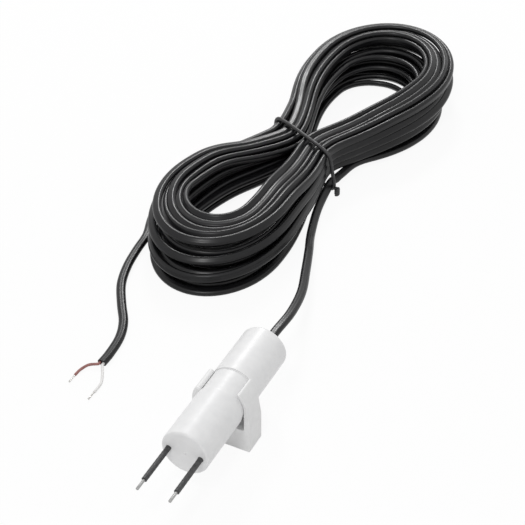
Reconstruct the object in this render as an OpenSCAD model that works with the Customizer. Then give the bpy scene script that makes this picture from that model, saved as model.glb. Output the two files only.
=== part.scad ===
// Water leak probe: a sealed tube with two electrodes, the clip that it turns in, and a two-core cable in a hank.
// Millimetres. The origin is the middle of the clip's base, +Z is up, and the tube lies along Y with its
// electrodes towards -Y. The cable leaves the tube at its rear end, towards +Y.

/* [Tube] */
// Outside diameter of the tube
body_d = 20; // [17:0.5:26]
// Length of the tube
body_len = 67; // [60:1:90]
// Wall of the tube
body_wall = 1.8; // [1.4:0.1:2.2]
// Thickness of the tube's closed front end
front_wall = 3; // [2:0.25:5]
// Rounding of the front edge
front_round = 0.9; // [0.4:0.1:1.4]
// Rounding of the rear edge
rear_round = 1.4; // [0.6:0.1:1.6]
// Distance from the front face to the middle of the clip
clip_from_front = 34.5; // [28:0.5:40]
// Depth of the groove that the clip turns in
groove_depth = 0.5; // [0.3:0.1:0.8]
// Length of the groove that shows in front of the clip
groove_front = 1.8; // [0.5:0.1:4]

/* [Electrodes] */
// Diameter of an electrode rod
electrode_d = 1.2; // [0.8:0.1:1.6]
// Outside diameter of an electrode's sleeve
sleeve_d = 2.2; // [1.8:0.1:2.8]
// Length of sleeve in front of the tube
sleeve_len = 18.3; // [10:0.1:26]
// Length of bare electrode in front of the sleeve
tip_len = 5.2; // [3:0.1:9]
// Plastic left between an electrode's sleeve and the tube's bore
electrode_inset = 0.3; // [0.2:0.05:1.2]

/* [Clip] */
// Length of the clip along the tube
clip_len = 10.4; // [8:0.2:14]
// Height of the solid block under the clip's channel
clip_base_h = 10.8; // [7:0.1:14]
// Thickness of the clip's sides at the base
clip_side = 2.6; // [2.5:0.1:4]
// Thickness of the springy right arm
right_arm = 1.4; // [1:0.1:1.8]
// Thickness of the stiff left arm
left_arm = 2.4; // [1.8:0.1:2.5]
// Angle from straight up to the right arm's tip
right_tip_angle = 46; // [35:1:65]
// Angle from straight up to the left arm's tip
left_tip_angle = 62; // [45:1:75]
// Room between the tube and the floor of the clip's channel
channel_room = 0.7; // [0.4:0.1:1.5]
// Diameter of the screw hole through the clip's base
screw_hole_d = 3.8; // [3:0.1:4.5]
// Diameter of the screw head's countersink
screw_head_d = 7.4; // [6:0.1:8]
// Radial running clearance between the clip and its groove
turn_clear = 0.1; // [0.05:0.01:0.1]
// Clearance between the clip and the groove's rear wall
clip_end_clear = 0.15; // [0.1:0.05:0.4]

/* [Inside the tube] */
// Clearance between pieces that are glued or potted together
fit_gap = 0.05; // [0.03:0.01:0.1]
// Length of the potting resin behind the front end
potting_len = 14; // [10:0.5:18]
// Depth of the sleeves in the resin
sleeve_seat = 2; // [1:0.5:5]
// Length of the circuit board behind the resin
board_len = 22; // [18:0.5:26]
// Thickness of the circuit board
board_t = 1.2; // [0.8:0.1:1.6]
// Width of the board's tongue in the resin
tongue_w = 9; // [6:0.5:10]
// Depth of the board's tongue in the resin
tongue_len = 3; // [2:0.5:6]
// Length of electrode lying on the board
electrode_on_board = 6; // [4:0.5:9]
// Length of cable core lying on the board
core_on_board = 3; // [2:0.5:5]
// Radius of a solder joint
solder_r = 0.9; // [0.7:0.05:1.1]
// Length of a solder joint
solder_len = 1.6; // [1:0.1:2.2]
// Thickness of the rear cap
cap_t = 4; // [3.5:0.25:6]
// Thickness of the sealing ring's cord
ring_d = 1.2; // [0.9:0.1:1.5]
// Wall of the cable's rubber seal
seal_wall = 1.4; // [1:0.1:2]
// Width of the seal's inner flange
seal_flange = 1; // [0.6:0.1:1.5]
// Thickness of the seal's inner flange
seal_flange_t = 1.2; // [0.8:0.1:2]
// Wall of the clamp ring that holds the cable
clamp_wall = 1.5; // [1:0.1:2]
// Length of the clamp ring
clamp_len = 3; // [2:0.5:5]
// Length of cable jacket in front of the clamp ring
jacket_stub = 2; // [1:0.5:4]

/* [Cable] */
// Width of the flat cable
cable_w = 4.2; // [3:0.1:4.4]
// Thickness of the flat cable
cable_t = 2.8; // [2.2:0.1:3]
// Diameter of an insulated core
core_d = 1.2; // [0.9:0.1:1.4]
// Distance between the two cores
core_pitch = 1.9; // [1.5:0.1:2.2]
// Diameter of a bare conductor
conductor_d = 0.7; // [0.5:0.1:0.9]
// Length of the bare conductors
conductor_len = 4.5; // [3:0.5:8]

/* [Hank] */
// Number of loops in the hank
loops = 17.5; // [17.5]
// Number of layers that the loops lie in
layers = 4; // [4]
// Height from one layer to the next at the tied waist
waist_layer = 4.8; // [4.5:0.1:5.8]
// Height from one layer to the next at the loose ends
end_layer = 5.8; // [5:0.1:8]
// Step from one loop to the next at the sides
side_step = 4.2; // [3.6:0.1:4.6]
// Step from one loop to the next at the ends
end_step = 5; // [4.2:0.1:7]
// Step in the rounded length from one loop to the next at the near end
near_round_step = 7.5; // [5:0.1:8]
// Step in the rounded length from one loop to the next at the far end
far_round_step = 6.8; // [5:0.1:8]
// How far each layer lies towards the far end from the layer under it
hank_lean = 2.5; // [0:0.5:7]
// Step from one loop to the next at the tied waist
waist_step = 4.2; // [3.6:0.1:4.5]
// Distance from the hank's middle to the outer loop at the waist
waist_half = 22; // [20:0.5:26]
// Distance from the hank's middle to its near end
near_half = 108; // [100:1:114]
// Distance from the hank's middle to its far end
far_half = 106; // [98:1:114]
// Half the width of the outer loop in the near half
near_side = 34; // [30:0.5:36.5]
// Half the width of the outer loop in the far half
far_side = 38.5; // [35:0.5:42]
// Length of the rounded near end
near_round = 48.5; // [44:0.5:56]
// Length of the rounded far end
far_round = 50; // [44:1:58]
// Sideways bend of the hank at its ends
hank_bend = 2; // [0:0.5:8]
// Share of its width that the hank's two sides are shifted along each other
hank_slant = 0.12; // [0:0.01:0.15]
// Thickness of the tie round the waist
tie_d = 1.8; // [1:0.1:2.2]
// Share of its width that the tie's two sides are shifted along the hank
tie_slant = 0.2; // [0:0.02:0.3]
// Room between the tie and the loops
tie_room = 0.4; // [0.3:0.1:0.8]

/* [Hidden] */
$fn = 64;

// Tube
body_r = body_d / 2;
bore_r = body_r - body_wall;
groove_r = body_r - groove_depth;
front_y = -clip_from_front;
rear_y = front_y + body_len;
bore_front_y = front_y + front_wall;

// Clip
clip_bore_r = groove_r + turn_clear;
clip_half_w = clip_bore_r + clip_side;
axis_h = clip_base_h + channel_room + groove_r;
groove_rear_y = clip_len / 2 + clip_end_clear;
groove_front_y = -clip_len / 2 - groove_front;
shoulder_drop = 8;
screw_sink_depth = (screw_head_d - screw_hole_d) / 2;

// Electrodes and board
electrode_x = bore_r - electrode_inset - sleeve_d / 2;
sleeve_front_y = front_y - sleeve_len;
sleeve_rear_y = bore_front_y + sleeve_seat;
tip_y = sleeve_front_y - tip_len;
potting_front_y = bore_front_y + fit_gap;
potting_rear_y = potting_front_y + potting_len;
board_front_y = potting_rear_y + fit_gap;
board_rear_y = board_front_y + board_len;
electrode_rear_y = board_front_y + electrode_on_board;
board_top = max(electrode_d, core_d) / 2 + fit_gap;
board_half_w = sqrt(pow(bore_r, 2) - pow(board_top + board_t, 2)) - fit_gap;
resistor = [1.6, 0.6, 3.2];
capacitor = [1.25, 0.9, 2];
parts_y = board_front_y + electrode_on_board + solder_len + 3;

// Rear end
cap_front_y = rear_y - cap_t;
cap_bore_r = cable_w / 2 + seal_wall + fit_gap;
ring_centre_r = bore_r - ring_d / 2 - fit_gap;
ring_groove_r = ring_centre_r - ring_d / 2 - fit_gap;
flange_front_y = cap_front_y - fit_gap - seal_flange_t;
clamp_front_y = flange_front_y - fit_gap - clamp_len;
jacket_front_y = clamp_front_y - jacket_stub;
core_front_y = board_rear_y - core_on_board;

// Hank
loops_in_layer = ceil(2 * loops / layers) / 2;
rings_in_loop = 24;
run_share = 0.4;
climb = 0.5;
hank_place = [-51, 174];
hank_turn = 6.9;
hank_clear = 0.1;
hank_lift = tie_d + tie_room + hank_clear;
lift_reach = 30;
loose_reach = 70;

// Cable lead: exit, then points along the way to the hank, at floor level behind the tube
lead_points = [[0, rear_y + 10, axis_h], [-0.5, rear_y + 25, axis_h - 2], [-4, 75, 15.5], [-10.5, 93, 11.5],
    [-17, 110, 8], hank_frame(near_side + cable_t / 2, -39, 4.2),
    hank_frame(waist_half + cable_t + 3 * tie_room, -22, 3.6)];
// Cable tail: off the top layer and down the hank's left side, over the floor and to the stripped end
tail_points = [hank_frame(-waist_half + 0.35 * waist_step, -8, layer_h(-8, 3)),
    hank_frame(-near_side + 7.5, -22, layer_h(-22, 3.05)), hank_frame(-near_side + 3, -36, layer_h(-36, 3)),
    hank_frame(-near_side - 1.9, -50, layer_h(-50, 2.4)), hank_frame(-near_side - 2.5, -63, layer_h(-63, 1.4)),
    hank_frame(-near_side - 1.2, -76, layer_h(-76, 0.6)), [-91.2, 94, 2.6], [-90, 83, 2.3], [-88, 71, 2.1],
    [-84, 59, 1.95], [-77, 47.5, 1.85], [-70.5, 38, 1.7], [-66.8, 28.5, 1.6], [-65.5, 18, 1.5]];
tail_end = [-65.5, 12, 1.5];
red_points = [[-70, 8.8, 1.1], [-71.7, 5.2, 0.8]];
red_end = [-72, 1.2, 0.75];
white_points = [[-61.9, 6.4, 1.1], [-59.9, 2, 0.8]];
white_end = [-59.6, -4, 0.75];

// A smooth step from 0 to 1
function ease(s) = let (c = min(max(s, 0), 1)) c * c * (3 - 2 * c);

function unit(v) = v / norm(v);

// A point of the smooth curve through p, between its points k and k + 1
function curve_point(p, k, f) =
    let (a = p[k - 1], b = p[k], c = p[k + 1], d = p[k + 2])
    0.5 * (2 * b + (c - a) * f + (2 * a - 5 * b + 4 * c - d) * f * f + (3 * b - a - 3 * c + d) * f * f * f);

// A route that is straight between its first two and its last two points, and smooth between them
function smooth_route(p, steps) = concat([p[0]],
    [for (k = [1 : len(p) - 3]) for (i = [0 : steps - 1]) curve_point(p, k, i / steps)],
    [p[len(p) - 2], p[len(p) - 1]]);

function direction(p, i) = unit(p[min(i + 1, len(p) - 1)] - p[max(i - 1, 0)]);

// The points round a flat cable at point i of its route, turned by roll from lying flat
function ring(p, i, width, thick, roll, sides) =
    let (along = direction(p, i), side = unit(cross(along, [0, 0, 1])), up = cross(side, along),
        wide = side * cos(roll) + up * sin(roll), thin = up * cos(roll) - side * sin(roll))
    [for (s = [0 : sides - 1]) let (a = 360 * s / sides)
        p[i] + wide * (cos(a) * width / 2) + thin * (sin(a) * thick / 2)];

function skin(count, sides, closed) = concat(
    [for (i = [0 : count - (closed ? 1 : 2)]) for (s = [0 : sides - 1]) for (half = [0, 1])
        let (n = (i + 1) % count, r = (s + 1) % sides)
        half == 0 ? [i * sides + s, n * sides + s, i * sides + r]
            : [i * sides + r, n * sides + s, n * sides + r]],
    closed ? [] : [for (s = [1 : sides - 2]) [0, s, s + 1]],
    closed ? [] : [for (s = [1 : sides - 2]) let (e = (count - 1) * sides) [e, e + s + 1, e + s]]);

// A flat cable along route p, whose width turns from roll_a to roll_b on the way
module cable(p, width, thick, roll_a, roll_b, sides) {
    last = len(p) - 1;
    points = [for (i = [0 : last])
        each ring(p, i, width, thick, roll_a + (roll_b - roll_a) * ease((i - 1) / (last - 2)), sides)];
    polyhedron(points = points, faces = skin(last + 1, sides, false), convexity = 10);
}

// How far the spiral has stepped in after t loops: in, out, in and out again, a layer at a time
function steps_in(t) = let (m = t % (2 * loops_in_layer)) m < loops_in_layer ? m : 2 * loops_in_layer - m;

// How many layers the cable has climbed after t loops
function layers_up(t) = [for (j = [1 : layers - 1]) ease((t - j * loops_in_layer) / climb + 0.5)] *
    [for (j = [1 : layers - 1]) 1];

// A quarter of a loop from the waist to the end: v runs from 0 to 1, inset is the number of steps in, and up the
// number of layers up
function quarter_loop(v, inset, up, far) =
    let (half = (far ? far_half + hank_lean * up : near_half - hank_lean * up) - inset * end_step,
        rounded = far ? far_round - inset * far_round_step : near_round - inset * near_round_step,
        side = (far ? far_side : near_side) - inset * side_step,
        waist = waist_half - inset * waist_step,
        run = v / run_share,
        turn = 90 * (v - run_share) / (1 - run_share))
    v < run_share ? [waist + (side - waist) * ease(run), (half - rounded) * run]
        : [side * cos(turn), half - rounded + rounded * sin(turn)];

// A point of the hank after t loops, in the hank's own frame
function loop_point(t) =
    let (u = t - floor(t), q = floor(4 * u), v = 4 * u - q, back = q % 2 == 1, far = q < 2,
        p = quarter_loop(back ? 1 - v : v, steps_in(t), layers_up(t), far))
    [q == 1 || q == 2 ? -p.x : p.x, far ? p.y : -p.y];

// A point of the hank as it lies on the floor
function hank_frame(x, y, z) =
    let (along = y - hank_slant * x, across = x + hank_bend * pow(along / near_half, 2))
    [hank_place.x + across * cos(hank_turn) + along * sin(hank_turn),
        hank_place.y - across * sin(hank_turn) + along * cos(hank_turn), z];

// The height of the cable's middle at y along the hank, up layers up
function layer_h(y, up) =
    let (lift = hank_lift * (1 - ease(abs(y) / lift_reach)),
        layer = waist_layer + (end_layer - waist_layer) * ease(abs(y) / loose_reach))
    cable_w / 2 + hank_clear + lift + layer * up;

function hank_point(t) = let (p = loop_point(t)) hank_frame(p.x, p.y, layer_h(p.y, layers_up(t)));

hank_path = [for (i = [0 : loops * rings_in_loop]) hank_point(i / rings_in_loop)];
hank_last = len(hank_path) - 1;
hank_start = hank_path[0];
hank_end = hank_path[hank_last];
waist_height = cable_w + hank_lift + waist_layer * (layers - 1);

// The least clear distance between stretches of the hank that are half a loop or more apart
function hank_gap() = min([for (i = [0 : hank_last]) for (j = [i + rings_in_loop / 2 : 1 : hank_last])
    let (d = hank_path[j] - hank_path[i]) max(abs(d.z) - cable_w, norm([d.x, d.y]) - cable_t)]);

lead_path = smooth_route(concat([[0, jacket_front_y, axis_h], [0, rear_y + 2, axis_h]], lead_points,
    [hank_start - unit(hank_path[1] - hank_start) * cable_w, hank_start]), 3);
tail_path = smooth_route(concat([hank_end, hank_end + unit(hank_end - hank_path[hank_last - 1]) * cable_w],
    tail_points, [tail_end + [0, cable_w, 0], tail_end]), 3);

// Puts a piece that is drawn round Z on the tube's axis: its Z becomes Y, and its Y points down
module on_axis() {
    translate([0, 0, axis_h]) rotate([-90, 0, 0]) children();
}

// A rod on the tube's axis line, from y0 to y1
module rod(r, y0, y1) {
    translate([0, 0, y0]) cylinder(r = r, h = y1 - y0);
}

// A hole for the flat cable from y0 to y1
module cable_hole(y0, y1) {
    width = cable_w + 2 * fit_gap;
    thick = cable_t + 2 * fit_gap;
    for (side = [-1, 1]) translate([side * (width - thick) / 2, 0, 0]) rod(thick / 2, y0, y1);
    translate([-(width - thick) / 2, -thick / 2, y0]) cube([width - thick, thick, y1 - y0]);
}

// Half section of the tube's outside, with its rounded edges
module tube_outline() {
    difference() {
        translate([0, front_y]) square([body_r, body_len]);
        translate([body_r - front_round, front_y - 1]) square([front_round + 1, front_round + 1]);
        translate([body_r - rear_round, rear_y - rear_round]) square([rear_round + 1, rear_round + 1]);
    }
    translate([body_r - front_round, front_y + front_round]) circle(r = front_round);
    translate([body_r - rear_round, rear_y - rear_round]) circle(r = rear_round);
}

module sensor_tube() {
    gate_r = 0.5;
    gate_h = 0.3;
    color("white") on_axis() difference() {
        union() {
            rotate_extrude() difference() {
                tube_outline();
                translate([0, bore_front_y]) square([bore_r, body_len]);
                translate([groove_r, groove_front_y]) square([body_r, groove_rear_y - groove_front_y]);
            }
            rod(gate_r, front_y - gate_h, front_y + 0.1);
        }
        for (side = [-1, 1]) translate([side * electrode_x, 0, 0])
            rod(sleeve_d / 2 + fit_gap, front_y - 1, bore_front_y + 1);
    }
}

module rear_cap() {
    ring_y = rear_y - cap_t / 2;
    color("gainsboro") on_axis() difference() {
        rod(bore_r - fit_gap, cap_front_y, rear_y);
        rod(cap_bore_r, cap_front_y - 1, rear_y + 1);
        translate([0, 0, ring_y - ring_d / 2 - fit_gap]) difference() {
            cylinder(r = bore_r + 1, h = ring_d + 2 * fit_gap);
            translate([0, 0, -1]) cylinder(r = ring_groove_r, h = ring_d + 2);
        }
    }
}

module cap_seal() {
    color("dimgray") on_axis() translate([0, 0, rear_y - cap_t / 2])
        rotate_extrude() translate([ring_centre_r, 0]) circle(r = ring_d / 2);
}

module cable_seal() {
    color("black") on_axis() difference() {
        union() {
            rod(cap_bore_r - fit_gap, flange_front_y, rear_y);
            rod(cap_bore_r + seal_flange, flange_front_y, flange_front_y + seal_flange_t);
        }
        cable_hole(flange_front_y - 1, rear_y + 1);
    }
}

module cable_clamp() {
    color("silver") on_axis() difference() {
        rod(cable_w / 2 + clamp_wall, clamp_front_y, clamp_front_y + clamp_len);
        cable_hole(clamp_front_y - 1, clamp_front_y + clamp_len + 1);
    }
}

module potting_resin() {
    color("darkslategray") on_axis() difference() {
        rod(bore_r - fit_gap, potting_front_y, potting_rear_y);
        for (side = [-1, 1]) translate([side * electrode_x, 0, 0]) {
            rod(sleeve_d / 2 + fit_gap, potting_front_y - 1, sleeve_rear_y + fit_gap);
            rod(electrode_d / 2 + fit_gap, potting_front_y - 1, potting_rear_y + 1);
        }
        translate([-tongue_w / 2 - fit_gap, board_top - fit_gap, potting_rear_y - tongue_len - fit_gap])
            cube([tongue_w + 2 * fit_gap, board_t + 2 * fit_gap, tongue_len + 1]);
    }
}

module circuit_board() {
    color("darkgreen") on_axis() {
        translate([-board_half_w, board_top, board_front_y]) cube([2 * board_half_w, board_t, board_len]);
        translate([-tongue_w / 2, board_top, potting_rear_y - tongue_len])
            cube([tongue_w, board_t, tongue_len + fit_gap + 1]);
    }
}

module series_resistors() {
    color("black") on_axis() for (side = [-1, 1])
        translate([side * electrode_x / 2 - resistor.x / 2, board_top - resistor.y, parts_y]) cube(resistor);
}

module filter_capacitor() {
    color("tan") on_axis()
        translate([-capacitor.x / 2, board_top - capacitor.y, parts_y]) cube(capacitor);
}

module electrode(side) {
    color("silver") on_axis() translate([side * electrode_x, 0, 0]) rod(electrode_d / 2, tip_y, electrode_rear_y);
}

module electrode_left() {
    electrode(-1);
}

module electrode_right() {
    electrode(1);
}

module sleeve(side) {
    color("black") on_axis() translate([side * electrode_x, 0, 0]) difference() {
        rod(sleeve_d / 2, sleeve_front_y, sleeve_rear_y);
        rod(electrode_d / 2 + fit_gap, sleeve_front_y - 1, sleeve_rear_y + 1);
    }
}

module sleeve_left() {
    sleeve(-1);
}

module sleeve_right() {
    sleeve(1);
}

// A drop of solder at the end of a rod, flat where it sits on the board
module solder_drop(x, y0) {
    translate([x, 0, 0]) difference() {
        rod(solder_r, y0, y0 + solder_len);
        translate([-solder_r - 1, board_top, y0 - 1]) cube([2 * solder_r + 2, solder_r + 1, solder_len + 2]);
    }
}

module electrode_solder() {
    color("lightgray") on_axis() for (side = [-1, 1]) solder_drop(side * electrode_x, electrode_rear_y);
}

module core_solder() {
    color("lightgray") on_axis() for (side = [-1, 1])
        solder_drop(side * core_pitch / 2, core_front_y - solder_len);
}

module inner_core(side) {
    on_axis() translate([side * core_pitch / 2, 0, 0]) rod(core_d / 2, core_front_y, jacket_front_y);
}

module inner_core_red() {
    color("firebrick") inner_core(-1);
}

module inner_core_white() {
    color("white") inner_core(1);
}

// The right half of the clip's outline, with one arm round the tube's axis up to the angle of its tip
module clip_half(thick, tip_angle) {
    arm_r = clip_bore_r + thick;
    shoulder_h = axis_h - shoulder_drop;
    overlap = 1;
    reach = 3 * body_r;
    difference() {
        union() {
            translate([-overlap, 0]) square([clip_half_w + overlap, shoulder_h]);
            polygon([[-overlap, shoulder_h - overlap], [clip_half_w, shoulder_h - overlap],
                [clip_half_w, shoulder_h], [arm_r, axis_h], [-overlap, axis_h]]);
            translate([0, axis_h]) intersection() {
                circle(r = arm_r);
                translate([-overlap, -overlap]) square([arm_r + 2 * overlap, arm_r + 2 * overlap]);
            }
        }
        translate([-2 * overlap, clip_base_h]) square([clip_bore_r + 2 * overlap, axis_h - clip_base_h]);
        translate([0, axis_h]) circle(r = clip_bore_r);
        translate([0, axis_h]) polygon([[0, 0], [reach * sin(tip_angle), reach * cos(tip_angle)],
            [0, 2 * reach], [-2 * overlap, 2 * reach], [-2 * overlap, 0]]);
    }
    translate([0, axis_h]) rotate(90 - tip_angle)
        translate([clip_bore_r + thick / 2, 0]) circle(r = 0.45 * thick);
}

module mounting_clip() {
    forward = groove_front - clip_end_clear;
    reach = 3 * body_r;
    color("whitesmoke") difference() {
        union() {
            rotate([90, 0, 0]) linear_extrude(height = clip_len, center = true) {
                clip_half(right_arm, right_tip_angle);
                mirror([1, 0]) clip_half(left_arm, left_tip_angle);
            }
            translate([0, -forward / 2, 0]) rotate([90, 0, 0])
                linear_extrude(height = clip_len + forward, center = true) intersection() {
                    mirror([1, 0]) clip_half(left_arm, left_tip_angle);
                    translate([-reach, axis_h - shoulder_drop]) square([reach - 1, reach]);
                }
        }
        translate([0, 0, -1]) cylinder(d = screw_hole_d, h = clip_base_h + 2);
        translate([0, 0, clip_base_h - screw_sink_depth])
            cylinder(d1 = screw_hole_d, d2 = screw_head_d, h = screw_sink_depth);
    }
}

module cable_lead() {
    color([0.1, 0.1, 0.1]) cable(lead_path, cable_w, cable_t, 0, -90, 8);
}

module cable_hank() {
    echo(hank_least_gap = hank_gap());
    color([0.1, 0.1, 0.1]) cable(hank_path, cable_w, cable_t / cos(30), 90, 90, 6);
}

module cable_tail() {
    color([0.1, 0.1, 0.1]) cable(tail_path, cable_w, cable_t, 90, 0, 8);
}

// The tie's centre line: a rounded box round the waist, drawn askew across it
tie_half_w = waist_half + cable_t / 2 + 2 * tie_room + tie_d;
tie_half_h = (waist_height + 2 * tie_room) / 2;
tie_mid_h = hank_clear + tie_d / 2 + tie_half_h;
top_corner = 0.3;
low_corner = 0.14;

function tie_round(a, corner) = sign(a) * pow(abs(a), corner);

tie_path = [for (i = [0 : 39])
    let (a = 9 * i, corner = sin(a) > 0 ? top_corner : low_corner, x = tie_half_w * tie_round(cos(a), corner))
    hank_frame(x, -tie_slant * x, tie_mid_h + tie_half_h * tie_round(sin(a), corner))];

module hank_tie() {
    sides = 6;
    count = len(tie_path);
    points = [for (i = [0 : count - 1])
        let (along = unit(tie_path[(i + 1) % count] - tie_path[(i + count - 1) % count]),
            side = [sin(hank_turn), cos(hank_turn), 0], out = unit(cross(along, side)))
        for (s = [0 : sides - 1]) let (b = 360 * s / sides)
            tie_path[i] + side * (cos(b) * tie_d / 2) + out * (sin(b) * tie_d / 2)];
    color([0.1, 0.1, 0.1]) polyhedron(points = points, faces = skin(count, sides, true), convexity = 4);
}

module tie_knot() {
    knot_r = 1.6;
    knot_h = 4;
    x = tie_half_w + tie_d / 2 + knot_r + fit_gap;
    place = hank_frame(x, -tie_slant * x, hank_clear);
    color([0.1, 0.1, 0.1]) translate(place) {
        cylinder(r = knot_r, h = knot_h);
        translate([0, 0, knot_h]) sphere(r = knot_r);
    }
}

// A stripped core from the cable's end: side is -1 for the red core, and 1 for the white one
function core_path(side, points, end) =
    let (start = tail_end + [side * core_pitch / 2, 0, 0])
    smooth_route(concat([start, start - [0, core_d, 0]], points, [end + [0, core_d, 0], end]), 4);

module end_core_red() {
    color("firebrick") cable(core_path(-1, red_points, red_end), core_d, core_d, 0, 0, 8);
}

module end_core_white() {
    color("white") cable(core_path(1, white_points, white_end), core_d, core_d, 0, 0, 8);
}

module end_wire(place) {
    color("silver") translate(place) rotate([90, 0, 0]) cylinder(d = conductor_d, h = conductor_len);
}

module end_wire_red() {
    end_wire(red_end);
}

module end_wire_white() {
    end_wire(white_end);
}

sensor_tube();
rear_cap();
cap_seal();
cable_seal();
cable_clamp();
potting_resin();
circuit_board();
series_resistors();
filter_capacitor();
electrode_left();
electrode_right();
sleeve_left();
sleeve_right();
electrode_solder();
core_solder();
inner_core_red();
inner_core_white();
mounting_clip();
cable_lead();
cable_hank();
cable_tail();
hank_tie();
tie_knot();
end_core_red();
end_core_white();
end_wire_red();
end_wire_white();
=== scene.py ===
"""Water leak probe: a white sealed tube with two electrodes in its clip, and its black cable tied in a hank.

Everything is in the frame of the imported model: the origin is the middle of the clip's base, +Z is up, and
the tube lies along Y with its electrodes towards -Y. Shapes are worked out in millimetres, as in the part's
source, and become metres when their mesh is made.
"""
import math

import bmesh
import bpy
import numpy as np
from mathutils import Matrix, Vector, kdtree


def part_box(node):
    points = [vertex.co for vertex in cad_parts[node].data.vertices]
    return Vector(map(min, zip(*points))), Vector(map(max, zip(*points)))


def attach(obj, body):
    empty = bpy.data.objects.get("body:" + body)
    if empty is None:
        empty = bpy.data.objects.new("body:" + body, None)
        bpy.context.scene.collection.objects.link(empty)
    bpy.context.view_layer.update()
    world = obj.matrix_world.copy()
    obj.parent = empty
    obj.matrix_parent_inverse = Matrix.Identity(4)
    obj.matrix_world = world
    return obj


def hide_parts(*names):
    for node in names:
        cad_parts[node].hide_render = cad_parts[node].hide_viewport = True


MM = 0.001
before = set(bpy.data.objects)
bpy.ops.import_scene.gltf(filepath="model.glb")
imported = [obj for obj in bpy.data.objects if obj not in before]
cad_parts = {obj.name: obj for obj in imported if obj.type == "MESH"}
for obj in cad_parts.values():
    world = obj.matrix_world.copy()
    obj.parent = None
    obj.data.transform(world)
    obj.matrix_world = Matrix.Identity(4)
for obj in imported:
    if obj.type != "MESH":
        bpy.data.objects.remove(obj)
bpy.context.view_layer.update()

# The photograph's camera
VIEW_AZIMUTH = math.radians(26.67)
VIEW_ELEVATION = math.radians(39.02)
VIEW_DISTANCE = 0.620
VIEW_TARGET = Vector((-0.0071, 0.0444, 0.0529))
LENS_MM = 107.3
SENSOR_MM = 36.0

# The tube and its electrodes, in millimetres as in the part's source
BODY_R = 10.0
BORE_R = 8.2
FRONT_Y, REAR_Y = -34.5, 32.5
FRONT_WALL = 3.0
FRONT_ROUND, REAR_ROUND = 0.9, 1.4
GROOVE_R = 9.5
GROOVE_FRONT_Y, GROOVE_REAR_Y = -7.0, 5.35
GROOVE_EDGE = 0.12
GATE_R, GATE_H = 0.5, 0.3
AXIS_H = 21.0
ELECTRODE_X = 6.8
ELECTRODE_R = 0.6
SLEEVE_R = 1.1
FIT_GAP = 0.05

# The rear end, in millimetres as in the part's source
CAP_T = 4.0
CAP_BORE_R = 3.55
RING_D = 1.2
RING_GROOVE_R = 6.9
SEAL_FLANGE, SEAL_FLANGE_T = 1.0, 1.2

# The clip, in millimetres as in the part's source
CLIP_LEN = 10.4
CLIP_BASE_H = 10.8
CLIP_BORE_R = 9.6
CLIP_HALF_W = 12.2
SHOULDER_H = 13.0
RIGHT_ARM, RIGHT_TIP = 1.4, math.radians(46)
LEFT_ARM, LEFT_TIP = 2.4, math.radians(62)
LEFT_FORWARD = 1.65
SCREW_HOLE_R, SCREW_HEAD_R = 1.9, 3.7
CLIP_EDGE = 0.35

# The flat cable, in millimetres as in the part's source
CABLE_W = 4.2
CABLE_T = 2.8
CORE_D = 1.2
CORE_PITCH = 1.9
CONDUCTOR_D = 0.7
CONDUCTOR_LEN = 4.5

# The hank's outline, in millimetres as in the part's source
LAYERS = 4
WAIST_LAYER = 4.8
HANK_LEAN = 2.5
WAIST_HALF = 22.0
NEAR_HALF, FAR_HALF = 108.0, 106.0
NEAR_SIDE, FAR_SIDE = 34.0, 38.5
NEAR_ROUND, FAR_ROUND = 48.5, 50.0
HANK_BEND = 2.0
HANK_SLANT = 0.12
HANK_PLACE = (-51.0, 174.0)
HANK_TURN = math.radians(6.9)
HANK_CLEAR = 0.1
TIE_D = 1.8
TIE_SLANT = 0.2
TIE_ROOM = 0.4
HANK_LIFT = TIE_D + TIE_ROOM + HANK_CLEAR
LIFT_REACH = 30.0
RUN_SHARE = 0.4
CLIMB = 0.5

# The loops inside that outline: one more in each layer than in the part's source, as the photographed pile
# is fuller
LOOPS_IN_LAYER = 5.5
LOOPS = LAYERS * LOOPS_IN_LAYER - 0.5
END_LAYER = 6.4
LOOSE_REACH = 45.0
SIDE_STEP, WAIST_STEP = 3.3, 3.7
NEAR_STEP, FAR_STEP = 3.9, 3.5
NEAR_ROUND_STEP, FAR_ROUND_STEP = 5.9, 4.7
OUTER_INSET = 0.1
FIRST_LOOP_IN, FIRST_LOOP_END, FIRST_LOOP_OUT = 0.35, 0.8, 0.6
NEAR_SLIP, LOW_SLIP_SHARE = 6.5, 0.2
FAR_SPREAD = 1.5
FLARE_EASE = 0.15
LOOP_POINTS = 180

# The cable's free stretches, in millimetres as in the part's source, apart from their points by the hank
EXIT_POINT = (0, REAR_Y - 2, AXIS_H)
LEAD_POINTS = [(0, REAR_Y + 10, AXIS_H), (-0.5, REAR_Y + 25, AXIS_H - 2), (-4, 75, 15.5), (-10.5, 93, 11.5),
               (-17, 110, 8)]
LEAD_BY_HANK = [(NEAR_SIDE - 2, -39, 3.6), (WAIST_HALF + CABLE_T, -22, 3.6)]
TAIL_BY_HANK = [(-WAIST_HALF + 1, -9, 3), (-WAIST_HALF - 2, -17, 2.9), (-NEAR_SIDE + 5.5, -27, 2.6),
                (-NEAR_SIDE + 1, -38, 2.1), (-NEAR_SIDE - 4, -50, 1.3), (-NEAR_SIDE - 6, -63, 0.4),
                (-NEAR_SIDE - 3.5, -76, 0)]
TAIL_POINTS = [(-91.2, 94, 2.6), (-90, 83, 2.3), (-88, 71, 2.1), (-84, 59, 1.95), (-77, 47.5, 1.85),
               (-70.5, 38, 1.7), (-66.8, 28.5, 1.6), (-65.5, 18, 1.5)]
TAIL_END = (-65.5, 12, 1.5)
RED_POINTS = [(-70, 8.8, 1.1), (-71.7, 5.2, 0.8)]
RED_END = (-72, 1.2, 0.75)
WHITE_POINTS = [(-61.9, 6.4, 1.1), (-59.9, 2, 0.8)]
WHITE_END = (-59.6, -4, 0.75)

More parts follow.
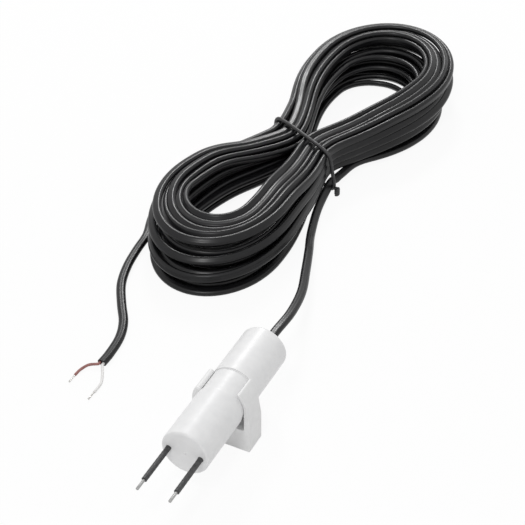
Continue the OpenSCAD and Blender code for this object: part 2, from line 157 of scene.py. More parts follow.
# How the loops came to lie: the winding hand's unevenness, then the settling of the pile
CABLE_STEP = 2.4
ROUTE_STEP = 1.5
INSET_DRIFT, INSET_EVERY = 0.4, 0.62
REACH_DRIFT, REACH_EVERY = 1.2, 0.5
HEIGHT_DRIFT, HEIGHT_EVERY = 1.4, 0.37
STEADY_LOOP = 0.4
ROLL = math.radians(-45)
ROLL_DRIFT, ROLL_EVERY = math.radians(50), 110.0
LEAD_ON_PILE, LEAD_RAMP = 25.0, 40.0
TAIL_ON_PILE, TAIL_RAMP = 90.0, 50.0
SETTLE_STEPS, STILL_STEPS = 160, 40
PAIRS_EVERY = 8
PAIR_ROOM = 1.2
PUSH_SHARE = 0.4
STIFFNESS, STIFF_REACH = 0.65, 4
SETTLE_FALL = 0.004
TOUCH = 3.4
FLOOR_ROOM = 0.02
FLATTER = np.array([1.0, 1.0, 0.95])

# The outline that the tie holds the loops in
HOLD_ROOM, HOLD_SINK = 1.2, 0.4
HOLD_CORNER = 8
HOLD_PULL = 0.2
STRAND_R = 1.75

# The light
LAMP_TARGET = (-0.03, 0.1, 0)
LAMP_SIZE = (0.2, 0.2)
WORLD_LEVEL = 0.55
WHITE_SHARE = 0.92

rng = np.random.default_rng(41)


def ease(s):
    """A smooth step from 0 to 1."""
    s = np.clip(s, 0, 1)
    return s * s * (3 - 2 * s)


# Camera


def add_camera():
    """The photograph's camera, aimed from its distance at its target."""
    ca, sa = math.cos(VIEW_AZIMUTH), math.sin(VIEW_AZIMUTH)
    ce, se = math.cos(VIEW_ELEVATION), math.sin(VIEW_ELEVATION)
    back = Vector((sa * ce, -ca * ce, se))
    right = Vector((ca, sa, 0))
    up = back.cross(right)
    data = bpy.data.cameras.new("camera")
    data.lens = LENS_MM
    data.sensor_width = SENSOR_MM
    data.sensor_fit = "HORIZONTAL"
    data.clip_start = 0.01
    camera = bpy.data.objects.new("camera", data)
    turn = Matrix((right, up, back)).transposed()
    camera.matrix_world = Matrix.Translation(VIEW_TARGET + back * VIEW_DISTANCE) @ turn.to_4x4()
    bpy.context.scene.collection.objects.link(camera)
    bpy.context.scene.camera = camera


# The cable's route


def curve_through(points, step):
    """A smooth curve through points, in points about step apart."""
    p = np.array(points, float)
    p = np.vstack([2 * p[0] - p[1], p, 2 * p[-1] - p[-2]])
    out = []
    for a, b, c, d in zip(p[:-3], p[1:-2], p[2:-1], p[3:]):
        count = max(2, int(np.linalg.norm(c - b) / step))
        f = (np.arange(count) / count)[:, None]
        out.append(0.5 * (2 * b + (c - a) * f + (2 * a - 5 * b + 4 * c - d) * f ** 2
                          + (3 * b - a - 3 * c + d) * f ** 3))
    out.append(p[-2:-1])
    return np.vstack(out)


def lengths_along(line):
    """How far along the line each of its points is."""
    return np.concatenate([[0], np.cumsum(np.linalg.norm(np.diff(line, axis=0), axis=1))])


def even_steps(line, step):
    """The same line in equal steps."""
    lengths = lengths_along(line)
    at = np.linspace(0, lengths[-1], int(round(lengths[-1] / step)) + 1)
    return np.column_stack([np.interp(at, lengths, line[:, k]) for k in range(3)])


def drift(t, spacing, size):
    """A smooth random curve over t, up to about size either way, with a new value every spacing."""
    values = rng.uniform(-1, 1, int(t.max() / spacing) + 5)
    k = np.floor(t / spacing).astype(int)
    f = t / spacing - k
    a, b, c, d = (values[k + n] for n in range(4))
    return size * 0.5 * (2 * b + (c - a) * f + (2 * a - 5 * b + 4 * c - d) * f ** 2
                         + (3 * b - a - 3 * c + d) * f ** 3)


def steps_in(t):
    """How far the spiral has stepped in after t loops: in, out, in and out again, a layer at a time."""
    m = t % (2 * LOOPS_IN_LAYER)
    return np.where(m < LOOPS_IN_LAYER, m, 2 * LOOPS_IN_LAYER - m)


def layers_up(t):
    """How many layers the cable has climbed after t loops."""
    return sum(ease((t - j * LOOPS_IN_LAYER) / CLIMB + 0.5) for j in range(1, LAYERS))


def flare(run):
    """A strand's share of the way from the waist to the lobe's side: soon after the tie, then levelling."""
    whole = math.sqrt(1 + FLARE_EASE ** 2) - FLARE_EASE
    spread = (np.sqrt(run ** 2 + FLARE_EASE ** 2) - FLARE_EASE) / whole
    return 1 - (1 - np.minimum(spread, 1)) ** 2


def loop_point(t, inset, up, reach):
    """Points after t loops in the hank's own frame: inset steps in from the outer loop, up layers up, and
    reach longer."""
    u = t % 1
    quarter = np.floor(4 * u)
    v = 4 * u - quarter
    v = np.where(quarter % 2 == 1, 1 - v, v)
    far = quarter < 2
    half = np.where(far, FAR_HALF + (HANK_LEAN + FAR_SPREAD) * up, NEAR_HALF - HANK_LEAN * up)
    half = half - inset * np.where(far, FAR_STEP, NEAR_STEP) + reach
    rounded = np.where(far, FAR_ROUND - inset * FAR_ROUND_STEP, NEAR_ROUND - inset * NEAR_ROUND_STEP)
    side = np.where(far, FAR_SIDE, NEAR_SIDE) - inset * SIDE_STEP
    waist = WAIST_HALF - inset * WAIST_STEP
    run = v / RUN_SHARE
    turn = math.pi / 2 * (v - RUN_SHARE) / (1 - RUN_SHARE)
    on_run = v < RUN_SHARE
    x = np.where(on_run, waist + (side - waist) * flare(run), side * np.cos(turn))
    y = np.where(on_run, (half - rounded) * run, half - rounded + rounded * np.sin(turn))
    x = np.where((quarter == 1) | (quarter == 2), -x, x)
    return x, np.where(far, y, -y)


def layer_h(y, up):
    """The height of the cable's middle at y along the hank, up layers up."""
    lift = HANK_LIFT * (1 - ease(np.abs(y) / LIFT_REACH))
    layer = WAIST_LAYER + (END_LAYER - WAIST_LAYER) * ease(np.abs(y) / LOOSE_REACH)
    return CABLE_W / 2 + HANK_CLEAR + lift + layer * up


def hank_frame(x, y, z):
    """Points of the hank's own frame as they lie on the floor."""
    along = y - HANK_SLANT * x
    across = x + HANK_BEND * (along / NEAR_HALF) ** 2
    return np.column_stack([
        HANK_PLACE[0] + across * math.cos(HANK_TURN) + along * math.sin(HANK_TURN),
        HANK_PLACE[1] - across * math.sin(HANK_TURN) + along * math.cos(HANK_TURN),
        z + np.zeros_like(x)])


def in_hank_frame(line):
    """The sideways and lengthwise place of points in the hank's own frame."""
    east, north = line[:, 0] - HANK_PLACE[0], line[:, 1] - HANK_PLACE[1]
    across = east * math.cos(HANK_TURN) - north * math.sin(HANK_TURN)
    along = east * math.sin(HANK_TURN) + north * math.cos(HANK_TURN)
    x = across - HANK_BEND * (along / NEAR_HALF) ** 2
    return x, along + HANK_SLANT * x


def hank_route():
    """The hank's loops with the unevenness of hand winding: the first loop is drawn in a little, and at the
    near end the upper layers have slipped to the left."""
    t = np.arange(0, LOOPS + 1e-9, 1 / LOOP_POINTS)
    up = layers_up(t)
    wound = ease(t / STEADY_LOOP) * ease((LOOPS - t) / STEADY_LOOP)
    inset = steps_in(t) + wound * drift(t, INSET_EVERY, INSET_DRIFT)
    inset += FIRST_LOOP_IN * (1 - ease((t - FIRST_LOOP_END) / FIRST_LOOP_OUT))
    inset = np.clip(inset, OUTER_INSET, LOOPS_IN_LAYER - OUTER_INSET)
    x, y = loop_point(t, inset, up, wound * drift(t, REACH_EVERY, REACH_DRIFT))
    slip = LOW_SLIP_SHARE + (1 - LOW_SLIP_SHARE) * up / (LAYERS - 1)
    x = x - NEAR_SLIP * ease(-y / LOOSE_REACH) * slip
    z = layer_h(y, up) + wound * drift(t, HEIGHT_EVERY, HEIGHT_DRIFT)
    return hank_frame(x, y, z)


def close_pairs(line, reach):
    """Pairs of points that lie within reach of each other but not along the cable."""
    apart = int(6 * CABLE_W / CABLE_STEP)
    tree = kdtree.KDTree(len(line))
    for i, point in enumerate(line * FLATTER):
        tree.insert(point, i)
    tree.balance()
    pairs = [(i, found[1]) for i, point in enumerate(line * FLATTER)
             for found in tree.find_range(point, reach) if found[1] > i + apart]
    return np.array(pairs).T


def eased_along(moves, reach):
    """Moves averaged along the cable over reach points each way, so that it bends as a stiff cable does."""
    kernel = np.hanning(2 * reach + 3)[1:-1]
    kernel /= kernel.sum()
    padded = np.pad(moves, ((reach, reach), (0, 0)), mode="edge")
    return np.column_stack([np.convolve(padded[:, k], kernel, mode="valid") for k in range(3)])


def held_by_tie(line):
    """Points near the waist drawn inside the rounded outline that the tie holds them in."""
    x, y = in_hank_frame(line)
    half_h = (WAIST_LAYER * (LAYERS - 1) + HOLD_ROOM) / 2
    middle = CABLE_W / 2 + HANK_LIFT + half_h - HOLD_SINK
    near = 1 - ease(np.abs(y) / LIFT_REACH)
    wide, high = np.abs(x / WAIST_HALF), np.abs((line[:, 2] - middle) / half_h)
    size = (wide ** HOLD_CORNER + high ** HOLD_CORNER) ** (1 / HOLD_CORNER)
    pull = near * np.clip(1 - 1 / np.maximum(size, 1), 0, HOLD_PULL)
    out = line.copy()
    out[:, 0] -= pull * x * math.cos(HANK_TURN)
    out[:, 1] += pull * x * math.sin(HANK_TURN)
    out[:, 2] -= pull * (line[:, 2] - middle)
    return out


def settled(line, free):
    """The line after its loops have sunk on each other: free is 0 where it keeps its place, and 1 where it
    moves."""
    start = line.copy()
    fall = SETTLE_FALL * free * ease(np.abs(in_hank_frame(line)[1]) / LIFT_REACH)
    free = free[:, None]
    floor_h = CABLE_W / 2
    for step in range(SETTLE_STEPS):
        if step % PAIRS_EVERY == 0:
            first, second = close_pairs(line, TOUCH + PAIR_ROOM)
        line[:, 2] -= fall * (step < SETTLE_STEPS - STILL_STEPS)
        between = (line[second] - line[first]) * FLATTER
        distance = np.maximum(np.linalg.norm(between, axis=1), 1e-6)[:, None]
        push = np.clip(TOUCH - distance, 0, None) / 2 * between / distance / FLATTER
        moves = np.zeros_like(line)
        np.add.at(moves, first, -push)
        np.add.at(moves, second, push)
        touching = np.bincount(np.concatenate([first, second])[np.tile(distance[:, 0] < TOUCH, 2)],
                               minlength=len(line))
        line += free * moves / np.maximum(1, PUSH_SHARE * touching)[:, None]
        line += free * (held_by_tie(line) - line)
        line[:, 2] = np.maximum(line[:, 2], np.minimum(start[:, 2], floor_h))
        moved = line - start
        stiff = eased_along(moved, STIFF_REACH)
        line = start + free * ((1 - STIFFNESS) * moved + STIFFNESS * stiff)
    return line


def cable_route():
    """The cable from the tube's rear end to its stripped end, and how its width is turned from level at each
    point."""
    hank = hank_route()
    into = (hank[0] - hank[1]) / np.linalg.norm(hank[0] - hank[1])
    out = (hank[-1] - hank[-2]) / np.linalg.norm(hank[-1] - hank[-2])
    by_lead = [hank_frame(np.array([x]), np.array([y]), z)[0] for x, y, z in LEAD_BY_HANK]
    by_tail = [hank_frame(np.array([x]), np.array([y]), layer_h(y, up))[0] for x, y, up in TAIL_BY_HANK]
    lead_points = [EXIT_POINT, *LEAD_POINTS, *by_lead, hank[0] + into * CABLE_W, hank[0]]
    tail_points = [hank[-1], hank[-1] + out * CABLE_W, *by_tail, *TAIL_POINTS, TAIL_END]
    lead, tail = curve_through(lead_points, ROUTE_STEP), curve_through(tail_points, ROUTE_STEP)
    line = even_steps(np.vstack([lead[:-1], hank, tail[1:]]), CABLE_STEP)
    done = lengths_along(line)
    left = done[-1] - done
    lead_len, tail_len = lengths_along(lead)[-1], lengths_along(tail)[-1]
    free = ease((done - lead_len + LEAD_ON_PILE) / LEAD_RAMP)
    free = free * ease((left - tail_len + TAIL_ON_PILE) / TAIL_RAMP)
    line = settled(line, free)
    done = lengths_along(line)
    left = done[-1] - done
    roll = ROLL * ease(done / lead_len) * ease(2 * left / tail_len - 1)
    roll = roll + free * drift(done, ROLL_EVERY, ROLL_DRIFT)
    half_height = CABLE_T / 2 + (CABLE_W - CABLE_T) / 2 * np.abs(np.sin(roll))
    line[:, 2] = np.maximum(line[:, 2], half_height + FLOOR_ROOM)
    return line, roll


# Meshes


def around(count):
    """Angles once round, in equal steps."""
    return np.arange(count) / count * 2 * np.pi


def flat_profile(count=10):
    """The outline of the flat cable: two round lobes, one over each core, as (across, through)."""
    lobe_r = CABLE_T / 2
    out = CABLE_W / 2 - lobe_r
    angle = np.linspace(-0.6 * math.pi, 0.6 * math.pi, count)
    lobe = np.column_stack([out + lobe_r * np.cos(angle), lobe_r * np.sin(angle)])
    return np.vstack([lobe, -lobe])


def round_profile(diameter, count=12):
    """A circle, as (across, through)."""
    angle = around(count)
    return diameter / 2 * np.column_stack([np.cos(angle), np.sin(angle)])


def swept_rings(line, profile, roll=0.0, level=(0, 0, 1)):
    """Rings of the outline along line, each turned by roll from lying square to the level direction."""
    along = np.gradient(line, axis=0)
    along /= np.linalg.norm(along, axis=1)[:, None]
    side = np.cross(along, level)
    side /= np.linalg.norm(side, axis=1)[:, None]
    up = np.cross(side, along)
    turn = np.broadcast_to(roll, len(line))[:, None]
    wide = side * np.cos(turn) + up * np.sin(turn)
    thin = up * np.cos(turn) - side * np.sin(turn)
    return line[:, None] + wide[:, None] * profile[None, :, :1] + thin[:, None] * profile[None, :, 1:]


def axis_rings(profile, x=0.0, count=96):
    """Rings round the tube's axis, moved sideways by x, for a half section given as (radius, y)."""
    angle = around(count)
    return np.array([np.column_stack([x + r * np.cos(angle), np.full(count, y), AXIS_H + r * np.sin(angle)])
                     for r, y in profile])


def add_piece(name, mesh):
    """A new object for a mesh."""
    piece = bpy.data.objects.new(name, mesh)
    bpy.context.scene.collection.objects.link(piece)
    return piece


def loft(name, rings, wrap=False, sharp=50):
    """A skin over rings of points, capped at both ends or closed on itself, with its length as a UV map."""
    count, sides = rings.shape[:2]
    i, k = np.meshgrid(np.arange(count if wrap else count - 1), np.arange(sides), indexing="ij")
    n, r = (i + 1) % count, (k + 1) % sides
    quads = np.stack([i * sides + k, n * sides + k, n * sides + r, i * sides + r], axis=-1).reshape(-1, 4)
    caps = [] if wrap else [list(range(sides)), list(range(count * sides - 1, (count - 1) * sides - 1, -1))]
    mesh = bpy.data.meshes.new(name)
    mesh.from_pydata((rings.reshape(-1, 3) * MM).tolist(), [], quads.tolist() + caps)
    along = lengths_along(rings.mean(axis=1)) * MM
    u = np.stack([along[i], along[n], along[n], along[i]], axis=-1)
    v = np.stack([k, k, k + 1, k + 1], axis=-1) / sides
    flat = np.stack([u, v], axis=-1).reshape(-1)
    layer = mesh.uv_layers.new(name="length")
    layer.data.foreach_set("uv", np.concatenate([flat, np.zeros(2 * len(layer.data) - len(flat))]))
    mesh.polygons.foreach_set("use_smooth", [True] * len(mesh.polygons))
    mesh.set_sharp_from_angle(angle=math.radians(sharp))
    mesh.update()
    return add_piece(name, mesh)


def corner(r, y, out_r, out_y, size, steps=6):
    """A rounded corner of a half section, as (radius, y): from its point along out_r to that along out_y."""
    angle = np.linspace(0, math.pi / 2, steps + 1)
    cr, cy = r - out_r * size, y - out_y * size
    return [(cr + out_r * size * math.cos(a), cy + out_y * size * math.sin(a)) for a in angle]


# The tube


def tube_section():
    """Half section of the tube from the rim of its front face, along the outside and back along its bore."""
    lip = 0.4
    front = corner(BODY_R, FRONT_Y, 1, -1, FRONT_ROUND)[::-1]
    rear = corner(BODY_R, REAR_Y, 1, 1, REAR_ROUND)
    inner = corner(BORE_R, REAR_Y, -1, 1, 0.2, 3)[::-1]
    groove = [(BODY_R, GROOVE_FRONT_Y - lip)]
    groove += corner(BODY_R, GROOVE_FRONT_Y, 1, 1, GROOVE_EDGE, 3)
    groove += [(GROOVE_R, GROOVE_FRONT_Y), (GROOVE_R, GROOVE_FRONT_Y + lip), (GROOVE_R, GROOVE_REAR_Y - lip),
               (GROOVE_R, GROOVE_REAR_Y)]
    groove += corner(BODY_R, GROOVE_REAR_Y, 1, -1, GROOVE_EDGE, 3)[::-1]
    groove += [(BODY_R, GROOVE_REAR_Y + lip)]
    bore = [(BORE_R, REAR_Y - 1), (BORE_R, FRONT_Y + FRONT_WALL)]
    return front + [(BODY_R, FRONT_Y + FRONT_ROUND + lip)] + groove + [(BODY_R, REAR_Y - REAR_ROUND - lip)] \
        + rear + inner + bore


def add_ring(bm, ring):
    """The points of one ring as vertices."""
    return [bm.verts.new(point) for point in ring * MM]


def join_rings(bm, first, second):
    """Faces between two rings of vertices."""
    for k in range(len(first)):
        n = (k + 1) % len(first)
        bm.faces.new((first[k], second[k], second[n], first[n])).smooth = True


def fill_between(bm, rings):
    """A flat wall inside the first ring, with the other rings left as holes."""
    edges = []
    for ring in rings:
        for k, vert in enumerate(ring):
            pair = (vert, ring[(k + 1) % len(ring)])
            edges.append(bm.edges.get(pair) or bm.edges.new(pair))
    bmesh.ops.triangle_fill(bm, use_beauty=True, edges=edges)


def make_tube():
    """The white tube with its closed front end, the electrodes' holes and the moulding gate's mark."""
    bm = bmesh.new()
    skin = [add_ring(bm, ring) for ring in axis_rings(tube_section(), count=128)]
    for first, second in zip(skin, skin[1:]):
        join_rings(bm, first, second)
    inside_y = FRONT_Y + FRONT_WALL
    outer_holes, inner_holes = [], []
    for x in (-ELECTRODE_X, ELECTRODE_X):
        hole_r = SLEEVE_R + FIT_GAP
        section = [(hole_r + 0.12, FRONT_Y), (hole_r, FRONT_Y + 0.12), (hole_r, inside_y)]
        hole = [add_ring(bm, ring) for ring in axis_rings(section, x, 32)]
        for first, second in zip(hole, hole[1:]):
            join_rings(bm, first, second)
        outer_holes.append(hole[0])
        inner_holes.append(hole[-1])
    dome = [(GATE_R + 0.08, FRONT_Y), (GATE_R, FRONT_Y - 0.1), (0.8 * GATE_R, FRONT_Y - 0.7 * GATE_H),
            (0.4 * GATE_R, FRONT_Y - GATE_H)]
    gate = [add_ring(bm, ring) for ring in axis_rings(dome, 0, 20)]
    for first, second in zip(gate, gate[1:]):
        join_rings(bm, first, second)
    bm.faces.new(gate[-1])
    fill_between(bm, [skin[0], *outer_holes, gate[0]])
    fill_between(bm, [skin[-1], *inner_holes])
    bmesh.ops.recalc_face_normals(bm, faces=bm.faces)
    mesh = bpy.data.meshes.new("tube")
    bm.to_mesh(mesh)
    bm.free()
    mesh.set_sharp_from_angle(angle=math.radians(35))
    return add_piece("tube", mesh)


def make_cap():
    """The plug that closes the tube's rear end, with the groove for its sealing ring."""
    outer_r = BORE_R - FIT_GAP
    ring_y = REAR_Y - CAP_T / 2
    ring_half = RING_D / 2 + FIT_GAP
    dish = 0.25
    section = [(CAP_BORE_R, REAR_Y - CAP_T), (outer_r, REAR_Y - CAP_T), (outer_r, ring_y - ring_half),
               (RING_GROOVE_R, ring_y - ring_half), (RING_GROOVE_R, ring_y + ring_half),
               (outer_r, ring_y + ring_half)]
    section += corner(outer_r, REAR_Y, 1, 1, 0.35, 4)
    section += [(outer_r - 1.0, REAR_Y), (outer_r - 1.25, REAR_Y - dish), (CAP_BORE_R + 0.6, REAR_Y - dish)]
    section += corner(CAP_BORE_R, REAR_Y - dish, -1, 1, 0.3, 4)[::-1]
    return loft("cap", axis_rings(section), wrap=True, sharp=35)


def make_seal():
    """The rubber bush round the cable, with its inner flange and a rounded lip that stands proud."""
    count = 40
    angle = around(count)
    oval = np.column_stack([(CABLE_W / 2 + 0.02) * np.cos(angle), (CABLE_T / 2 + 0.02) * np.sin(angle)])
    front_y = REAR_Y - CAP_T - FIT_GAP - SEAL_FLANGE_T
    body_r = CAP_BORE_R - FIT_GAP
    sections = [(body_r + SEAL_FLANGE, front_y), (body_r + SEAL_FLANGE, front_y + SEAL_FLANGE_T),
                (body_r, front_y + SEAL_FLANGE_T)]
    sections += corner(body_r, REAR_Y + 0.3, 1, 1, 0.5, 4)
    rings = list(axis_rings(sections, 0, count))
    for y in (REAR_Y + 0.3, REAR_Y - 0.2, front_y):
        grow = 1.15 if y > REAR_Y else 1.0
        rings.append(np.column_stack([grow * oval[:, 0], np.full(count, y), AXIS_H + grow * oval[:, 1]]))
    return loft("seal", np.array(rings), wrap=True, sharp=40)


# The electrodes


def make_electrode(name, side):
    """A drawn steel rod with a rounded tip."""
    low, high = (np.array(c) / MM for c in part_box(f"electrode_{name}"))
    tip = 0.25
    section = [(0.12, low[1]), (ELECTRODE_R - tip, low[1] + 0.02), (ELECTRODE_R - 0.08, low[1] + 0.1),
               (ELECTRODE_R, low[1] + tip), (ELECTRODE_R, low[1] + 2), (ELECTRODE_R, high[1])]
    return loft(f"rod_{name}", axis_rings(section, side * ELECTRODE_X, 32), sharp=40)


def make_sleeve(name, side):
    """A shrunk black sleeve: its wall is a little uneven, and its cut end is rolled slightly open."""
    low, high = (np.array(c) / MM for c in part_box(f"sleeve_{name}"))
    bore_r = ELECTRODE_R + 0.02
    outside = np.linspace(low[1] + 0.25, high[1], 70)
    section = [(bore_r, low[1] + 0.15), (bore_r + 0.18, low[1]), (SLEEVE_R - 0.12, low[1] + 0.02),
               (SLEEVE_R + 0.02, low[1] + 0.12)]
    section += [(SLEEVE_R, y) for y in outside] + [(bore_r, high[1])]
    rings = axis_rings(section, side * ELECTRODE_X, 32)
    centre = np.array([side * ELECTRODE_X, 0, AXIS_H])
    out = rings - centre
    out[:, :, 1] = 0
    shown = (rings[:, :, 1] < FRONT_Y - 0.5) & (rings[:, :, 1] > low[1] + 0.2)
    angle = np.arctan2(out[:, :, 2], out[:, :, 0])
    along = rings[:, :, 1]
    uneven = 0.022 * np.sin(2.9 * along + 2 * angle + side) + 0.018 * np.sin(6.1 * along - 3 * angle)
    rings = rings + out / SLEEVE_R * (uneven * shown)[:, :, None]
    return loft(f"sleeve_skin_{name}", rings, wrap=True, sharp=50)


# The clip


def arc(r, start, end, steps):
    """Points of an arc round the tube's axis, as (x, z)."""
    return [(r * math.cos(a), AXIS_H + r * math.sin(a)) for a in np.linspace(start, end, steps)]


def arm(thick, tip_angle):
    """One side of the clip's outline: from its shoulder over the arm's rounded tip, and down inside to that
    height."""
    arm_r = CLIP_BORE_R + thick
    end = math.pi / 2 - tip_angle
    tip_r, tip_x = thick / 2, (CLIP_BORE_R + thick / 2) * math.cos(end)
    tip_z = AXIS_H + (CLIP_BORE_R + thick / 2) * math.sin(end)
    tip = [(tip_x + tip_r * math.cos(end + b), tip_z + tip_r * math.sin(end + b))
           for b in np.linspace(0, math.pi, 9)[1:-1]]
    return [(CLIP_HALF_W, SHOULDER_H)] + arc(arm_r, 0, end, 24) + tip + arc(CLIP_BORE_R, end, 0, 24) \
        + [(CLIP_BORE_R, SHOULDER_H)]


def extruded(bm, faces, way):
    """Draws faces out along Y."""
    made = bmesh.ops.extrude_face_region(bm, geom=faces)
    moved = [g for g in made["geom"] if isinstance(g, bmesh.types.BMVert)]
    bmesh.ops.translate(bm, verts=moved, vec=(0, way * MM, 0))


def finished_mesh(piece):
    """Puts the result of a piece's modifiers into its mesh."""
    graph = bpy.context.evaluated_depsgraph_get()
    mesh = bpy.data.meshes.new_from_object(piece.evaluated_get(graph))
    piece.modifiers.clear()
    piece.data = mesh
    mesh.name = piece.name


def screw_cutter():
    """The countersunk screw hole through the clip's base, as a solid to cut away."""
    angle = around(64)
    sink = SCREW_HEAD_R - SCREW_HOLE_R
    section = [(SCREW_HOLE_R, -1), (SCREW_HOLE_R, CLIP_BASE_H - sink), (SCREW_HEAD_R, CLIP_BASE_H),
               (SCREW_HEAD_R, CLIP_BASE_H + 1)]
    rings = np.array([np.column_stack([r * np.cos(angle), r * np.sin(angle), np.full(64, z)])[::-1]
                      for r, z in section])
    return loft("cutter", rings)


def make_clip():
    """The springy clip: a solid base with a screw hole, and two unequal arms round the tube's groove."""
    bm = bmesh.new()
    left_outline = [(-x, z) for x, z in arm(LEFT_ARM, LEFT_TIP)]
    base_corners = [(CLIP_BORE_R, CLIP_BASE_H), (-CLIP_BORE_R, CLIP_BASE_H)]
    base_corners += [(-CLIP_HALF_W, 0), (CLIP_HALF_W, 0)]
    right, left, base = [[bm.verts.new((x * MM, -CLIP_LEN / 2 * MM, z * MM)) for x, z in points]
                         for points in (arm(RIGHT_ARM, RIGHT_TIP), left_outline, base_corners)]
    left_arm = bm.faces.new(left)
    rest = bm.faces.new(right + base[:2] + [left[-1], left[0]] + base[2:])
    extruded(bm, [left_arm, rest], CLIP_LEN)
    extruded(bm, [left_arm], -LEFT_FORWARD)
    bmesh.ops.recalc_face_normals(bm, faces=bm.faces)
    mesh = bpy.data.meshes.new("clip")
    bm.to_mesh(mesh)
    bm.free()
    clip = add_piece("clip_body", mesh)
    cutter = screw_cutter()
    cut = clip.modifiers.new("screw hole", "BOOLEAN")
    cut.object = cutter
    cut.solver = "EXACT"
    edge = clip.modifiers.new("edges", "BEVEL")
    edge.width = CLIP_EDGE * MM
    edge.segments = 3
    edge.angle_limit = math.radians(32)
    finished_mesh(clip)
    bpy.data.objects.remove(cutter)
    clip.data.polygons.foreach_set("use_smooth", [True] * len(clip.data.polygons))
    clip.data.set_sharp_from_angle(angle=math.radians(32))
    weight = clip.modifiers.new("even shading", "WEIGHTED_NORMAL")
    weight.keep_sharp = True
    finished_mesh(clip)
    return clip


# The tie and the stripped end


def hull(points):
    """The convex outline of flat points, in order."""
    points = sorted(map(tuple, points))

    def half(ordered):
        chain = []
        for p in ordered:
            while len(chain) > 1 and ((chain[-1][0] - chain[-2][0]) * (p[1] - chain[-2][1])
                                      <= (chain[-1][1] - chain[-2][1]) * (p[0] - chain[-2][0])):
                chain.pop()
            chain.append(p)
        return chain[:-1]

    return np.array(half(points) + half(points[::-1]))


def tie_outline(line):
    """The tie's centre line round the loops at the waist, as (sideways, height) in equal steps."""
    x, y = in_hank_frame(line)
    there = np.abs(y + TIE_SLANT * x) < CABLE_STEP
    angle = around(24)
    away = STRAND_R + TIE_D / 2
    discs = [(a + away * math.cos(b), max(h + away * math.sin(b), TIE_D / 2 + HANK_CLEAR))
             for a, h in zip(x[there], line[there, 2]) for b in angle]
    loop = hull(discs)
    loop = np.vstack([loop, loop[:1]])
    even = even_steps(np.column_stack([loop, np.zeros(len(loop))]), 1.0)[:-1, :2]
    for _ in range(6):
        even = 0.5 * even + 0.25 * (np.roll(even, 1, axis=0) + np.roll(even, -1, axis=0))
    return even


def make_tie(outline):
    """The tie round the hank's waist."""
    path = hank_frame(outline[:, 0], -TIE_SLANT * outline[:, 0], outline[:, 1])
    lengthwise = (math.sin(HANK_TURN), math.cos(HANK_TURN), 0)
    wrapped = np.vstack([path[-1:], path, path[:1]])
    rings = swept_rings(wrapped, round_profile(TIE_D, 14), 0.0, lengthwise)[1:-1]
    return loft("tie", rings, wrap=True, sharp=80)


def make_knot(outline):
    """The tie's two ends, twisted round each other beside the hank."""
    strand_d = 1.3
    turn_r = 0.72
    height = 5.6
    turns = 2.2
    level = (math.cos(HANK_TURN), -math.sin(HANK_TURN), 0)
    x = outline[:, 0].max() + TIE_D / 2 + turn_r + strand_d / 2 - 0.1
    foot = hank_frame(np.array([x]), np.array([-TIE_SLANT * x]), HANK_CLEAR + strand_d / 2)[0]
    share = np.linspace(0, 1, 40)
    rings = []
    for start in (0, math.pi):
        angle = start + share * turns * 2 * math.pi
        line = foot + np.column_stack([turn_r * np.cos(angle), turn_r * np.sin(angle),
                                       share * (height - strand_d)])
        narrow = np.minimum(1, 0.35 + 8 * np.minimum(share, 1 - share))
        ring = swept_rings(line, round_profile(strand_d, 12), 0.0, level)
        rings.append(line[:, None] + (ring - line[:, None]) * narrow[:, None, None])
    return join_pieces("knot", [loft(f"knot_{k}", ring, sharp=80) for k, ring in enumerate(rings)])


def join_pieces(name, parts):
    """Several closed skins as one piece."""
    bm = bmesh.new()
    for part in parts:
        bm.from_mesh(part.data)
    mesh = bpy.data.meshes.new(name)
    bm.to_mesh(mesh)
    bm.free()
    for part in parts:
        bpy.data.objects.remove(part)
    return add_piece(name, mesh)


def core_line(side, points, end):
    """A stripped core's route from inside the jacket's end to where its own insulation ends."""
    start = np.array(TAIL_END) + (side * CORE_PITCH / 2, 0, 0)
    ahead = np.array((0, CORE_D, 0))
    line = [start + ahead, start, start - ahead, *points, np.array(end) + ahead, end]
    return even_steps(curve_through(line, 0.4), 0.5)


def make_core(name, side, points, end):
    """A core's insulation, with a softened cut edge."""
    line = core_line(side, points, end)
    rings = swept_rings(line, round_profile(CORE_D, 20))
    left = lengths_along(line)[-1] - lengths_along(line)
    rings[-1] = line[-1] + (rings[-1] - line[-1]) * 0.86
    swell = 1 + 0.012 * np.sin(left * 1.7)
    rings = line[:, None] + (rings - line[:, None]) * swell[:, None, None]
    return loft(name, rings, sharp=60)


def make_wire(name, end):
    """A bare conductor: seven tinned strands, six of them twisted round the middle one."""
    strand_d = CONDUCTOR_D / 3
    hidden = 0.6
    turns = 0.9
    share = np.linspace(0, 1, 36)
    start = np.array(end) + (0, hidden, 0)
    middle = start - np.outer(share, (0, CONDUCTOR_LEN + hidden, 0))
    parts = [loft(f"{name}_0", swept_rings(middle, round_profile(strand_d, 8)), sharp=80)]
    for k in range(6):
        angle = k * math.pi / 3 + share * turns * 2 * math.pi
        loose = strand_d * (1 + 0.25 * ease((share - 0.75) / 0.25) * (k % 3 == 0))
        apart = 0.06 * (k % 2) * share
        line = middle + np.column_stack([loose * np.cos(angle), apart, loose * np.sin(angle)])
        rings = swept_rings(line, round_profile(strand_d * 1.04, 8))
        parts.append(loft(f"{name}_{k + 1}", rings, sharp=80))
    return join_pieces(name, parts)


# Materials


